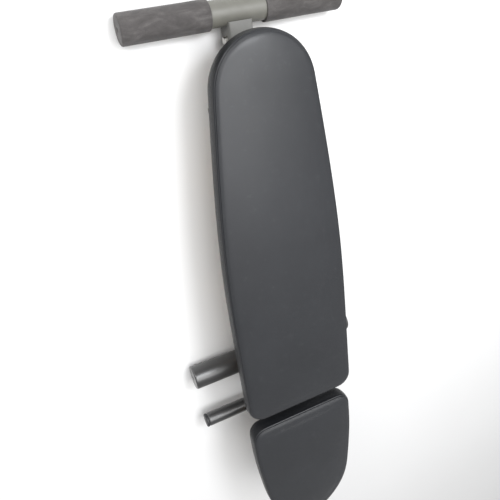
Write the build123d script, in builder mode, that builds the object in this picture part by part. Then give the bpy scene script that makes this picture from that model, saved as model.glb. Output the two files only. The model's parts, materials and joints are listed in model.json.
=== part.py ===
from build123d import *
from math import asin, atan2, cos, degrees, hypot, radians, sin, sqrt
import os

# A folding decline sit up bench, lying folded on its two cross feet. Millimetres.
# The bench frame used while modelling: X to the side, Y along the beam towards the head end,
# Z up from the beam's axis, and Y = 0 at the head end of the back pad. At the end every piece
# is tilted and lifted together, so that both feet stand on the floor at Z = 0.

# ---- driving dimensions ----
# Beam and its front plug
beam_size = 48.0
beam_wall = 2.0
beam_front_y = -1238.0
plug_flange = 4.0
plug_length = 18.0
plug_wall = 3.0
plug_corner = 1.5
tube_plug_length = 11.0

# Round cross feet with their sleeves
foot_tube_d = 48.3
foot_tube_wall = 2.5
rear_foot_length = 448.0
front_foot_length = 456.0
rear_sleeve_d = 56.0
front_sleeve_d = 60.0
sleeve_end_wall = 6.0
sleeve_dimple_d = 7.0
rear_bare = {"left": 55.0, "right": 57.0}
front_bare = {"left": 34.0, "right": 34.0}
rear_foot_y = 29.0
front_foot_y = -806.0

# Stub of the rear foot inside the beam, and its cross bolt
stub_wall = 3.0
stub_length = 85.0
neck_bolt_y = -19.0
neck_wrap = 8.0

# Back pad: a round head end that widens to a straight hip end
pad_thickness = 50.0
board_thickness = 12.0
board_inset = 14.0
pad_edge_round = 9.0
pad_under_round = 10.0
back_length = 875.0
back_head_radius = 105.0
back_head_flare = 6.8
back_waist = (138.5, 420.0)
back_hip_half = 142.0
back_hip_straight = 175.0
back_corner_round = 38.0

# Seat: straight sides at the rear, then points as (half width, distance from the nose)
seat_gap = 42.0
seat_length = 392.0
seat_rear_half = 141.0
seat_rear_straight = 75.0
seat_corner_round = 34.0
seat_flank = ((130.0, 173.0), (115.0, 98.0), (75.0, 37.0))

# Cross tubes that carry the pads: distance behind the pad's own head-side edge, half length
back_tube_size = 40.0
seat_tube_size = 30.0
cross_tube_wall = 2.0
back_tubes = {"head": (150.0, 88.0), "middle": (440.0, 105.0), "hip": (740.0, 110.0)}
seat_tubes = {"rear": (80.0, 105.0), "front": (235.0, 95.0)}
pad_bolt_x = 68.0

# Folding leg, its telescoping part and the collar at its mouth
leg_size = 40.0
leg_wall = 2.0
leg_end_wall = 3.0
leg_drop = 53.5
pivot_y = -1195.0
leg_mouth_y = -885.0
fold_angle = 100.0
inner_size = 32.0
inner_wall = 2.0
inner_end_y = -1125.0
inner_hole_pitch = 30.0
inner_hole_count = 4
collar_flange = 4.0
collar_sleeve = 11.0
slide_plug_length = 12.0

# Hinge of the leg
ear_thickness = 5.0
ear_reach = 42.0
ear_slim_reach = 24.0
ear_lap = 32.0
ear_corner = 8.0
pin_circle = 32.0
bush_flange_d = 30.0
bush_sleeve = 8.0
bush_wall = 2.5
bumper_d = 24.0
bumper_y = -985.0

# Ankle bars and their grips
ankle_y = -960.0
ankle_half = 222.0
peg_d = 25.4
peg_wall = 2.5
grip_start = 62.0
grip_d = 36.0
ring_width = 5.0
ring_d = 32.0
ankle_cap_width = 6.0
ankle_cap_plug = 14.0

# Lock pins
pin_d = 8.0
pin_travel = 6.0
barrel_d = 16.0
barrel_length = 24.0
barrel_nut = 22.0
barrel_nut_height = 5.0
knob_d = 26.0
knob_length = 20.0
knob_cover = 4.0
bracket_thickness = 5.0
bracket_half_height = 14.0
bracket_foot = (60.0, 95.0)
height_pin_y = -905.0

# Fasteners
bolt_d = 8.0
bolt_hex = 13.0
bolt_head = 5.3
nut_height = 6.8
washer_d = 16.0
washer_thickness = 1.6
insert_d = 12.0
pivot_bolt_d = 12.0
pivot_hex = 18.0
pivot_head = 7.5
pivot_nut_height = 10.0
thread_end = 2.0

# Clearances
slide_gap = 0.3
stop_gap = 0.4
socket_gap = 0.2
turn_gap = 0.05
touch_gap = 0.05
knob_gap = 0.5

# ---- places that follow ----
beam_half = beam_size / 2
foot_radius = foot_tube_d / 2
leg_half = leg_size / 2
leg_z = -leg_drop
seat_rear_y = -back_length - seat_gap
seat_nose_y = seat_rear_y - seat_length
back_top = beam_half + back_tube_size + pad_thickness
seat_top = beam_half + seat_tube_size + pad_thickness
beam_rear_y = rear_foot_y - foot_radius + neck_wrap
ear_outer_x = beam_half + ear_thickness
bracket_x = ear_outer_x + 2 * stop_gap
bearing_radius = leg_drop - beam_half - stop_gap
peg_radius = peg_d / 2
grip_end = ankle_half - ankle_cap_width
bolt_hole = bolt_d / 2 + socket_gap
pin_hole = pin_d / 2 + slide_gap
SIDES = {"left": -1, "right": 1}

pieces = []


def keep(builder, name):
    """Label a finished piece and put it on the list that is written at the end."""
    builder.part.label = name
    pieces.append(builder.part)


def across(x, y=0.0, z=0.0):
    """A plane with its normal along +X, its own x along +Y and its own y along +Z."""
    return Plane(origin=(x, y, z), x_dir=(0, 1, 0), z_dir=(1, 0, 0))


def along(y, z=0.0):
    """A plane with its normal along +Y and its own x along +X."""
    return Plane(origin=(0, y, z), x_dir=(1, 0, 0), z_dir=(0, 1, 0))


def square_section(size, wall):
    """Section of a square tube with rounded corners, drawn in the open sketch."""
    RectangleRounded(size, size, 1.5 * wall)
    RectangleRounded(size - 2 * wall, size - 2 * wall, 0.5 * wall, mode=Mode.SUBTRACT)


def cut_across(y, z, radius, start, depth):
    """Drill along X through the open part."""
    with BuildSketch(across(start, y, z)) as hole:
        Circle(radius)
    extrude(hole.sketch, amount=depth, mode=Mode.SUBTRACT)


# ---- frame ----
def make_beam():
    with BuildPart() as beam:
        with BuildSketch(along(beam_front_y)):
            square_section(beam_size, beam_wall)
        extrude(amount=beam_rear_y - beam_front_y)
        cut_across(rear_foot_y, 0, foot_radius + touch_gap, -beam_size, 2 * beam_size)
        cut_across(neck_bolt_y, 0, bolt_hole, -beam_size, 2 * beam_size)
    keep(beam, "main_beam")


def make_beam_plug():
    plug = beam_size - 2 * beam_wall - 2 * socket_gap
    with BuildPart() as cap:
        with BuildSketch(along(beam_front_y - plug_flange)):
            RectangleRounded(beam_size, beam_size, 1.5 * beam_wall)
        extrude(amount=plug_flange)
        chamfer(cap.faces().sort_by(Axis.Y)[0].edges(), length=1.2)
        with BuildSketch(along(beam_front_y)):
            RectangleRounded(plug, plug, plug_corner)
            Rectangle(plug - 2 * plug_wall, plug - 2 * plug_wall, mode=Mode.SUBTRACT)
        extrude(amount=plug_length)
    keep(cap, "beam_front_cap")


def make_foot_tube(name, length, y, z):
    """Round cross tube of a foot. It ends inside the closed ends of its sleeves."""
    half = length / 2 - sleeve_end_wall
    with BuildPart() as tube:
        with BuildSketch(across(-half, y, z)):
            Circle(foot_radius)
            Circle(foot_radius - foot_tube_wall, mode=Mode.SUBTRACT)
        extrude(amount=2 * half)
    keep(tube, name)


def make_sleeves(prefix, foot_length, diameter, bare, y, z):
    """A thick sleeve over each end of a foot, closed at its outer end by a dimpled face."""
    for name, side in SIDES.items():
        start = side * bare[name]
        length = side * (foot_length / 2 - bare[name])
        bore_length = length - side * sleeve_end_wall
        with BuildPart() as sleeve:
            with BuildSketch(across(start, y, z)):
                Circle(diameter / 2)
            extrude(amount=length)
            ends = sleeve.faces().filter_by(Axis.X).sort_by(Axis.X)
            outer, inner = (ends[-1], ends[0]) if side > 0 else (ends[0], ends[-1])
            fillet(outer.edges(), radius=3.0)
            chamfer(inner.edges(), length=0.8)
            cut_across(y, z, foot_radius + touch_gap, start, bore_length)
            cut_across(y, z, sleeve_dimple_d / 2, start + length, -side * sleeve_end_wall / 2)
        keep(sleeve, f"{prefix}_sleeve_{name}")


def make_stub():
    """Square stub welded to the rear foot tube, which slots into the beam's rear end."""
    outer = beam_size - 2 * beam_wall - 2 * socket_gap
    with BuildPart() as stub:
        with BuildSketch(along(rear_foot_y - foot_radius - stub_length)):
            RectangleRounded(outer, outer, plug_corner)
            Rectangle(outer - 2 * stub_wall, outer - 2 * stub_wall, mode=Mode.SUBTRACT)
        extrude(amount=stub_length + neck_wrap)
        cut_across(rear_foot_y, 0, foot_radius + touch_gap, -beam_size, 2 * beam_size)
        cut_across(neck_bolt_y, 0, bolt_hole, -beam_size, 2 * beam_size)
    keep(stub, "rear_foot_stub")


def make_neck_bolt():
    """Bolt, washers and nut that hold the stub in the beam, with the head on the left."""
    head_x = -beam_half - washer_thickness
    nut_x = beam_half + washer_thickness
    with BuildPart() as bolt:
        with BuildSketch(across(head_x, neck_bolt_y)):
            RegularPolygon(bolt_hex / 2, 6, major_radius=False)
        extrude(amount=-bolt_head)
        chamfer(bolt.faces().sort_by(Axis.X)[0].edges(), length=0.8)
        with BuildSketch(across(head_x, neck_bolt_y)):
            Circle(bolt_d / 2)
        extrude(amount=nut_x - head_x + nut_height + thread_end)
    keep(bolt, "rear_foot_bolt")
    with BuildPart() as washers:
        with BuildSketch(across(head_x, neck_bolt_y), across(beam_half, neck_bolt_y)):
            Circle(washer_d / 2)
            Circle(bolt_hole, mode=Mode.SUBTRACT)
        extrude(amount=washer_thickness)
    keep(washers, "rear_foot_washers")
    with BuildPart() as nut:
        with BuildSketch(across(nut_x, neck_bolt_y)):
            RegularPolygon(bolt_hex / 2, 6, major_radius=False)
            Circle(bolt_d / 2 + touch_gap, mode=Mode.SUBTRACT)
        extrude(amount=nut_height)
    keep(nut, "rear_foot_nut")


# ---- cross tubes under the pads ----
def make_cross_tubes(prefix, edge_y, tubes, size):
    """Square tubes lying across the beam, each drilled for two pad bolts."""
    for name, (setback, half) in tubes.items():
        with BuildPart() as tube:
            with BuildSketch(across(-half, edge_y - setback, beam_half + size / 2)):
                square_section(size, cross_tube_wall)
            extrude(amount=2 * half)
            with BuildSketch(Plane.XY.offset(beam_half)):
                with Locations((-pad_bolt_x, edge_y - setback), (pad_bolt_x, edge_y - setback)):
                    Circle(bolt_hole)
            extrude(amount=size, mode=Mode.SUBTRACT)
        keep(tube, f"{prefix}_cross_tube_{name}")


def make_tube_caps(prefix, edge_y, tubes, size):
    """Plastic plugs in both ends of every cross tube of one pad."""
    plug = size - 2 * cross_tube_wall - 2 * socket_gap
    with BuildPart() as caps:
        for setback, half in tubes.values():
            for side in SIDES.values():
                end = across(side * half, edge_y - setback, beam_half + size / 2)
                with BuildSketch(end):
                    RectangleRounded(size, size, 1.5 * cross_tube_wall)
                extrude(amount=side * plug_flange)
                with BuildSketch(end):
                    RectangleRounded(plug, plug, plug_corner)
                extrude(amount=-side * tube_plug_length)
    keep(caps, f"{prefix}_tube_caps")


# ---- upholstery ----
def back_face(inset):
    """Face of the back pad's outline, drawn in from its edge by an inset."""
    flare = radians(back_head_flare)
    radius = back_head_radius - inset
    head = (radius * cos(flare), radius * sin(flare) - back_head_radius)
    waist = (back_waist[0] - inset, back_waist[1] - back_length)
    hip = (back_hip_half - inset, back_hip_straight - back_length)
    end_y = inset - back_length
    with BuildSketch() as sketch:
        with BuildLine():
            ThreePointArc((-head[0], head[1]), (0, -inset), head)
            flank = Spline(head, waist, hip, tangents=((sin(flare), -cos(flare)), (0, -1)))
            mirror(flank, about=Plane.YZ)
            Polyline(hip, (hip[0], end_y), (-hip[0], end_y), (-hip[0], hip[1]))
        make_face()
        fillet(sketch.vertices().group_by(Axis.Y)[0], radius=back_corner_round - inset)
    return sketch.sketch


def seat_face(inset):
    """Face of the seat's outline, drawn in from its edge by an inset."""
    half = seat_rear_half - inset
    rear_y = seat_rear_y - inset
    rear = (half, seat_rear_y - seat_rear_straight)
    bends = [(x - inset, seat_nose_y + back + inset / 2) for x, back in seat_flank]
    with BuildSketch() as sketch:
        with BuildLine():
            nose = (0, seat_nose_y + inset)
            flank = Spline(rear, *bends, nose, tangents=((0, -1), (-1, 0)))
            mirror(flank, about=Plane.YZ)
            Polyline(rear, (half, rear_y), (-half, rear_y), (-half, rear[1]))
        make_face()
        fillet(sketch.vertices().group_by(Axis.Y)[-1], radius=seat_corner_round - inset)
    return sketch.sketch


def bolt_places(edge_y, tubes):
    return [(side * pad_bolt_x, edge_y - setback) for setback, _ in tubes.values() for side in (-1, 1)]


def make_upholstery(prefix, face, top, places):
    """A pad, the board let into its underside, and the threaded inserts in the board."""
    under = Plane.XY.offset(top - pad_thickness)
    outline = face(0)
    pocket = face(board_inset - socket_gap)
    board_outline = face(board_inset)
    with BuildPart() as pad:
        with BuildSketch(under):
            add(outline)
        extrude(amount=pad_thickness)
        fillet(pad.faces().sort_by(Axis.Z)[-1].edges(), radius=pad_edge_round)
        fillet(pad.faces().sort_by(Axis.Z)[0].edges(), radius=pad_under_round)
        with BuildSketch(under):
            add(pocket)
        extrude(amount=board_thickness, mode=Mode.SUBTRACT)
    keep(pad, f"{prefix}_pad")
    with BuildPart() as board:
        with BuildSketch(under):
            add(board_outline)
            with Locations(*places):
                Circle(insert_d / 2 + touch_gap, mode=Mode.SUBTRACT)
        extrude(amount=board_thickness)
    keep(board, f"{prefix}_board")
    with BuildPart() as inserts:
        with BuildSketch(under):
            with Locations(*places):
                Circle(insert_d / 2)
                Circle(bolt_d / 2 + touch_gap, mode=Mode.SUBTRACT)
        extrude(amount=board_thickness)
    keep(inserts, f"{prefix}_insert_nuts")


def make_pad_bolts(prefix, places, size):
    """Bolts from below each cross tube up into the board's inserts."""
    with BuildPart() as bolts:
        with BuildSketch(Plane.XY.offset(beam_half)):
            with Locations(*places):
                RegularPolygon(bolt_hex / 2, 6, major_radius=False)
        extrude(amount=-bolt_head)
        with BuildSketch(Plane.XY.offset(beam_half)):
            with Locations(*places):
                Circle(bolt_d / 2)
        extrude(amount=size + board_thickness - thread_end)
    keep(bolts, f"{prefix}_pad_bolts")


# ---- hinge of the leg ----
def make_ear(name, side, reach, pin_turns):
    """Plate lapped on the beam's side and rounded below around the pivot."""
    lap_top = leg_drop - beam_half + ear_lap
    with BuildPart() as ear:
        with BuildSketch(across(side * beam_half, pivot_y, leg_z)) as sketch:
            with BuildLine():
                Polyline((reach, 0), (reach, lap_top), (-reach, lap_top), (-reach, 0))
                ThreePointArc((-reach, 0), (0, -reach), (reach, 0))
            make_face()
            fillet(sketch.vertices().group_by(Axis.Y)[-1], radius=ear_corner)
            Circle(pivot_bolt_d / 2 + turn_gap, mode=Mode.SUBTRACT)
            for turn in pin_turns:
                place = (pin_circle * cos(radians(turn)), -pin_circle * sin(radians(turn)))
                with Locations(place):
                    Circle(pin_hole, mode=Mode.SUBTRACT)
        extrude(amount=side * ear_thickness)
    keep(ear, name)


def make_pivot():
    """Pivot bolt and nut. They clamp on the ears and the leg turns on the bolt."""
    with BuildPart() as bolt:
        with BuildSketch(across(-ear_outer_x, pivot_y, leg_z)):
            RegularPolygon(pivot_hex / 2, 6, major_radius=False)
        extrude(amount=-pivot_head)
        chamfer(bolt.faces().sort_by(Axis.X)[0].edges(), length=1.0)
        with BuildSketch(across(-ear_outer_x, pivot_y, leg_z)):
            Circle(pivot_bolt_d / 2)
        extrude(amount=2 * ear_outer_x + pivot_nut_height + thread_end)
    keep(bolt, "pivot_bolt")
    with BuildPart() as nut:
        with BuildSketch(across(ear_outer_x, pivot_y, leg_z)):
            RegularPolygon(pivot_hex / 2, 6, major_radius=False)
            Circle(pivot_bolt_d / 2 + touch_gap, mode=Mode.SUBTRACT)
        extrude(amount=pivot_nut_height)
    keep(nut, "pivot_nut")


def make_bushes():
    """Flanged bushes that carry the leg on the pivot bolt, between leg and ears."""
    sleeve_radius_out = pivot_bolt_d / 2 + turn_gap + bush_wall
    for name, side in SIDES.items():
        with BuildPart() as bush:
            with BuildSketch(across(side * leg_half, pivot_y, leg_z)):
                Circle(bush_flange_d / 2)
            extrude(amount=side * (beam_half - leg_half - slide_gap))
            with BuildSketch(across(side * leg_half, pivot_y, leg_z)):
                Circle(sleeve_radius_out)
            extrude(amount=-side * bush_sleeve)
            cut_across(pivot_y, leg_z, pivot_bolt_d / 2 + turn_gap, -beam_size, 2 * beam_size)
        keep(bush, f"pivot_bush_{name}")


def make_bumper():
    """Rubber puck under the beam that the folded leg comes to rest against."""
    thickness = leg_drop - beam_half - leg_half - stop_gap
    with BuildPart() as bumper:
        with BuildSketch(Plane.XY.offset(-beam_half)):
            with Locations((0, bumper_y)):
                Circle(bumper_d / 2)
        extrude(amount=-thickness)
        chamfer(bumper.faces().sort_by(Axis.Z)[0].edges(), length=1.5)
    keep(bumper, "fold_bumper")


# ---- folding leg ----
def make_leg():
    """Square tube whose pivot end is cut to bear flat under the beam when the leg is open."""
    turn = radians(fold_angle)
    mouth = leg_mouth_y - pivot_y
    start = sqrt(bearing_radius**2 - leg_half**2)
    start_angle = 180 - degrees(atan2(leg_half, start))
    middle = radians((start_angle + 90 + fold_angle) / 2)
    corner = (bearing_radius + leg_half * cos(turn)) / sin(turn)
    cavity = leg_size - 2 * leg_wall
    cavity_start = -start + leg_end_wall
    with BuildPart() as leg:
        with BuildSketch(across(-leg_half, pivot_y, leg_z)):
            with BuildLine():
                ThreePointArc(
                    (-start, leg_half),
                    (bearing_radius * cos(middle), bearing_radius * sin(middle)),
                    (-bearing_radius * sin(turn), bearing_radius * cos(turn)),
                )
                Polyline(
                    (-bearing_radius * sin(turn), bearing_radius * cos(turn)),
                    (-corner, -leg_half),
                    (mouth, -leg_half),
                    (mouth, leg_half),
                    (-start, leg_half),
                )
            make_face()
        extrude(amount=leg_size)
        fillet(leg.edges().filter_by(Axis.Y), radius=1.5 * leg_wall)
        with BuildSketch(along(leg_mouth_y, leg_z)):
            RectangleRounded(cavity, cavity, 0.5 * leg_wall)
        extrude(amount=-(mouth - cavity_start), mode=Mode.SUBTRACT)
        bush_hole = pivot_bolt_d / 2 + turn_gap + bush_wall + touch_gap
        cut_across(pivot_y, leg_z, bush_hole, -leg_half, leg_size)
        cut_across(height_pin_y, leg_z, pin_hole, 0, leg_half)
    keep(leg, "leg_outer")


def make_leg_collar():
    """Plastic collar in the leg's mouth that guides the telescoping tube."""
    bore = inner_size + 2 * slide_gap
    sleeve = leg_size - 2 * leg_wall - 2 * touch_gap
    with BuildPart() as collar:
        with BuildSketch(along(leg_mouth_y, leg_z)):
            RectangleRounded(leg_size, leg_size, 1.5 * leg_wall)
        extrude(amount=collar_flange)
        chamfer(collar.faces().sort_by(Axis.Y)[-1].edges(), length=1.0)
        with BuildSketch(along(leg_mouth_y, leg_z)):
            RectangleRounded(sleeve, sleeve, plug_corner)
        extrude(amount=-collar_sleeve)
        with BuildSketch(along(leg_mouth_y + collar_flange, leg_z)):
            RectangleRounded(bore, bore, 1.5 * inner_wall)
        extrude(amount=-(collar_flange + collar_sleeve), mode=Mode.SUBTRACT)
    keep(collar, "leg_mouth_collar")


def make_ankle_bars():
    """Bars welded to both sides of the leg, with grips, retaining rings and end caps."""
    for name, side in SIDES.items():
        with BuildPart() as peg:
            with BuildSketch(across(side * leg_half, ankle_y, leg_z)):
                Circle(peg_radius)
                Circle(peg_radius - peg_wall, mode=Mode.SUBTRACT)
            extrude(amount=side * (grip_end - leg_half))
        keep(peg, f"ankle_peg_{name}")
        with BuildPart() as roller:
            with BuildSketch(across(side * (grip_start + slide_gap), ankle_y, leg_z)):
                Circle(grip_d / 2)
            extrude(amount=side * (grip_end - grip_start - 2 * slide_gap))
            fillet(roller.faces().filter_by(Axis.X).edges(), radius=3.0)
            cut_across(ankle_y, leg_z, peg_radius + turn_gap, side * leg_half, side * ankle_half)
        keep(roller, f"ankle_roller_{name}")
        with BuildPart() as cap:
            with BuildSketch(across(side * grip_end, ankle_y, leg_z)):
                Circle(grip_d / 2)
            extrude(amount=side * ankle_cap_width)
            fillet(cap.faces().filter_by(Axis.X).sort_by(Axis.X)[-1 if side > 0 else 0].edges(), radius=2.5)
            with BuildSketch(across(side * grip_end, ankle_y, leg_z)):
                Circle(peg_radius - peg_wall - socket_gap)
            extrude(amount=-side * ankle_cap_plug)
        keep(cap, f"ankle_cap_{name}")
    with BuildPart() as rings:
        starts = (across(-grip_start, ankle_y, leg_z), across(grip_start - ring_width, ankle_y, leg_z))
        with BuildSketch(*starts):
            Circle(ring_d / 2)
            Circle(peg_radius + touch_gap, mode=Mode.SUBTRACT)
        extrude(amount=ring_width)
    keep(rings, "ankle_rings")


# ---- telescoping part ----
def make_inner_leg():
    """Square tube with a row of lock holes, saddled on the front foot tube."""
    with BuildPart() as inner:
        with BuildSketch(along(inner_end_y, leg_z)):
            square_section(inner_size, inner_wall)
        extrude(amount=front_foot_y - foot_radius + neck_wrap - inner_end_y)
        cut_across(front_foot_y, leg_z, foot_radius + touch_gap, -beam_size, 2 * beam_size)
        for step in range(inner_hole_count):
            hole_y = height_pin_y - step * inner_hole_pitch
            cut_across(hole_y, leg_z, pin_hole, 0, inner_size)
    keep(inner, "leg_inner")
    with BuildPart() as plug:
        flange = leg_size - 2 * leg_wall - 2 * slide_gap
        core = inner_size - 2 * inner_wall - 2 * socket_gap
        with BuildSketch(along(inner_end_y, leg_z)):
            RectangleRounded(flange, flange, plug_corner)
        extrude(amount=-plug_flange)
        with BuildSketch(along(inner_end_y, leg_z)):
            RectangleRounded(core, core, plug_corner)
        extrude(amount=slide_plug_length)
    keep(plug, "leg_slide_plug")


# ---- lock pins ----
def make_barrel(name, x, y, inner_radius):
    """Threaded housing of a lock pin, with its hexagon."""
    with BuildPart() as barrel:
        with BuildSketch(across(x, y, leg_z)):
            Circle(barrel_d / 2)
        extrude(amount=barrel_length)
        chamfer(barrel.faces().sort_by(Axis.X)[-1].edges(), length=1.0)
        hex_x = x + inner_radius
        with BuildSketch(across(hex_x, y, leg_z)):
            RegularPolygon(barrel_nut / 2, 6, major_radius=False)
        extrude(amount=barrel_nut_height)
        cut_across(y, leg_z, pin_d / 2 + turn_gap, x, barrel_length)
    keep(barrel, name)


def make_pin(name, tip_x, barrel_x, y):
    """Lock pin at its outer position, riding just clear of the plate, and its pull knob."""
    knob_x = barrel_x + barrel_length + pin_travel + knob_gap
    pin_end = knob_x + knob_length - knob_cover
    with BuildPart() as pin:
        with BuildSketch(across(tip_x, y, leg_z)):
            Circle(pin_d / 2)
        extrude(amount=pin_end - tip_x)
        chamfer(pin.faces().sort_by(Axis.X)[0].edges(), length=0.8)
    keep(pin, name)
    with BuildPart() as knob:
        with BuildSketch(across(knob_x, y, leg_z)):
            Circle(knob_d / 2)
        extrude(amount=knob_length)
        fillet(knob.faces().filter_by(Axis.X).sort_by(Axis.X)[-1].edges(), radius=4.0)
        fillet(knob.faces().filter_by(Axis.X).sort_by(Axis.X)[0].edges(), radius=1.5)
        cut_across(y, leg_z, pin_d / 2 + touch_gap, knob_x, knob_length - knob_cover)
    keep(knob, f"{name}_knob")


def make_fold_lock():
    """Bracket that carries the fold pin out over the right ear, with barrel, pin and knob."""
    pin_y = pivot_y + pin_circle
    foot_start, foot_end = bracket_foot
    plate_start = pin_circle - bracket_half_height
    with BuildPart() as bracket:
        with BuildSketch(across(leg_half, pivot_y, leg_z)):
            with Locations(((foot_start + foot_end) / 2, 0)):
                Rectangle(foot_end - foot_start, 2 * bracket_half_height)
        extrude(amount=bracket_x - leg_half)
        with BuildSketch(across(bracket_x, pivot_y, leg_z)):
            with Locations(((plate_start + foot_end) / 2, 0)):
                RectangleRounded(foot_end - plate_start, 2 * bracket_half_height, 5)
        extrude(amount=bracket_thickness)
        cut_across(pin_y, leg_z, barrel_d / 2 + touch_gap, bracket_x, bracket_thickness)
    keep(bracket, "fold_pin_bracket")
    make_barrel("fold_pin_barrel", bracket_x, pin_y, bracket_thickness)
    make_pin("fold_pin", ear_outer_x + stop_gap, bracket_x, pin_y)


def make_height_lock():
    """Lock pin of the telescope, with its barrel welded to the leg's right side."""
    make_barrel("height_pin_barrel", leg_half, height_pin_y, 0)
    make_pin("height_pin", inner_size / 2 + stop_gap, leg_half, height_pin_y)


# ---- the whole bench ----
def make_all():
    make_beam()
    make_beam_plug()
    make_foot_tube("rear_foot_tube", rear_foot_length, rear_foot_y, 0)
    make_sleeves("rear", rear_foot_length, rear_sleeve_d, rear_bare, rear_foot_y, 0)
    make_stub()
    make_neck_bolt()
    make_cross_tubes("back", 0, back_tubes, back_tube_size)
    make_cross_tubes("seat", seat_rear_y, seat_tubes, seat_tube_size)
    make_tube_caps("back", 0, back_tubes, back_tube_size)
    make_tube_caps("seat", seat_rear_y, seat_tubes, seat_tube_size)
    make_upholstery("back", back_face, back_top, bolt_places(0, back_tubes))
    make_upholstery("seat", seat_face, seat_top, bolt_places(seat_rear_y, seat_tubes))
    make_pad_bolts("back", bolt_places(0, back_tubes), back_tube_size)
    make_pad_bolts("seat", bolt_places(seat_rear_y, seat_tubes), seat_tube_size)
    make_ear("hinge_ear_left", -1, ear_slim_reach, ())
    make_ear("hinge_ear_right", 1, ear_reach, (0.0, fold_angle))
    make_pivot()
    make_bushes()
    make_bumper()
    make_leg()
    make_leg_collar()
    make_ankle_bars()
    make_inner_leg()
    make_foot_tube("front_foot_tube", front_foot_length, front_foot_y, leg_z)
    make_sleeves("front", front_foot_length, front_sleeve_d, front_bare, front_foot_y, leg_z)
    make_fold_lock()
    make_height_lock()


def standing():
    """Tilt that puts both feet on the floor, with the origin under the middle of the bench."""
    span = rear_foot_y - front_foot_y
    step = (front_sleeve_d - rear_sleeve_d) / 2
    tilt = degrees(atan2(leg_drop, span) + asin(step / hypot(span, leg_drop)))
    turned = Location((0, 0, 0), (-tilt, 0, 0))
    box = Compound(children=[turned * piece for piece in pieces]).bounding_box()
    lift = Location((0, -(box.min.Y + box.max.Y) / 2, -box.min.Z))
    return lift * turned


make_all()
placement = standing()
os.makedirs("parts", exist_ok=True)
for piece in pieces:
    placed = placement * piece
    placed.label = piece.label
    export_step(placed, f"parts/{piece.label}.step")
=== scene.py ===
import json
import math
import bmesh
import bpy
import numpy as np
from mathutils import Matrix, Vector, noise


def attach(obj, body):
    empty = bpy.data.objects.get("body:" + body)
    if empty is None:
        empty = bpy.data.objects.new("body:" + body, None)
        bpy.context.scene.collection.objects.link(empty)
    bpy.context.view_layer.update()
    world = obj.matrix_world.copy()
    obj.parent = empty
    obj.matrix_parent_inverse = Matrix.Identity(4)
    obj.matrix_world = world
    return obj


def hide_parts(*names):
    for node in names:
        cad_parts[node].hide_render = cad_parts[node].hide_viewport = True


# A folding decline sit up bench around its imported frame: upholstery, grips, welds and finishes.
# Shapes are worked out in the bench's own axes (mm: X to the side, Y towards the head end, Z up
# from the beam's axis) and then turned into the row frame (m), where the bench leans by its tilt.

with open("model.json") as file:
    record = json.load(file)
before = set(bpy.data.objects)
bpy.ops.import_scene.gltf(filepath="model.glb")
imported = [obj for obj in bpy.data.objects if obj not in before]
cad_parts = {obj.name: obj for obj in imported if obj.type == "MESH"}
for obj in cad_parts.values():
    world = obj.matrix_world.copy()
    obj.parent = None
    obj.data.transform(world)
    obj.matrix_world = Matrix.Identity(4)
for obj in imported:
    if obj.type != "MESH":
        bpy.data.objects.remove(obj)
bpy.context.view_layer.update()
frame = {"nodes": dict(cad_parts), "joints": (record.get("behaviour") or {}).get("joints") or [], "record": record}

# ---- the bench's axes in the row frame, read from the leg's joints ----
JOINTS = {j["name"]: j for j in frame["joints"]}
PIVOT_BENCH = np.array([0.0, -1195.0, -53.5])
BEAM_DIR = np.array(JOINTS["leg_extend"]["axis"], float)
BEAM_DIR /= np.linalg.norm(BEAM_DIR)
AXES = np.array([[1.0, 0.0, 0.0], BEAM_DIR, [0.0, -BEAM_DIR[2], BEAM_DIR[1]]])
ORIGIN = np.array(JOINTS["leg_fold"]["pos_m"], float) - PIVOT_BENCH / 1000 @ AXES
LEG_Z = PIVOT_BENCH[2]


def to_row(points):
    """Bench points (mm) in the row frame (m)."""
    return ORIGIN + np.asarray(points, float) / 1000 @ AXES


def mesh_points(mesh):
    """A mesh's vertices in the bench's axes, in millimetres."""
    co = np.zeros(len(mesh.vertices) * 3, np.float32)
    mesh.vertices.foreach_get("co", co)
    return (co.reshape(-1, 3) - ORIGIN) @ AXES.T * 1000


def node_span(name):
    """The low and high corners of a CAD node in the bench's axes."""
    points = mesh_points(frame["nodes"][name].data)
    return points.min(0), points.max(0)


def round_bar(name):
    """A CAD node that is round about X: its ends, the place of its axis (y, z) and its radius."""
    low, high = node_span(name)
    return low[0], high[0], (low[1] + high[1]) / 2, (low[2] + high[2]) / 2, (high[2] - low[2]) / 2


# ---- camera, at the photograph's viewing angle ----
CAM_PLACE = (-0.39964, 0.75302, 1.00027)
CAM_RIGHT = Vector((0.904706, -0.105086, 0.412872))
CAM_BACK = Vector((-0.306862, 0.511522, 0.802608))
CAM_UP = CAM_BACK.cross(CAM_RIGHT).normalized()
cam_data = bpy.data.cameras.new("camera")
cam_data.lens = 36.51
cam_data.sensor_width = 36.0
cam = bpy.data.objects.new("camera", cam_data)
bpy.context.scene.collection.objects.link(cam)
cam_turn = Matrix((CAM_RIGHT, CAM_UP, CAM_BACK)).transposed().to_4x4()
cam.matrix_world = Matrix.Translation(CAM_PLACE) @ cam_turn
cam_data.clip_end = 30.0
bpy.context.scene.camera = cam


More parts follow.
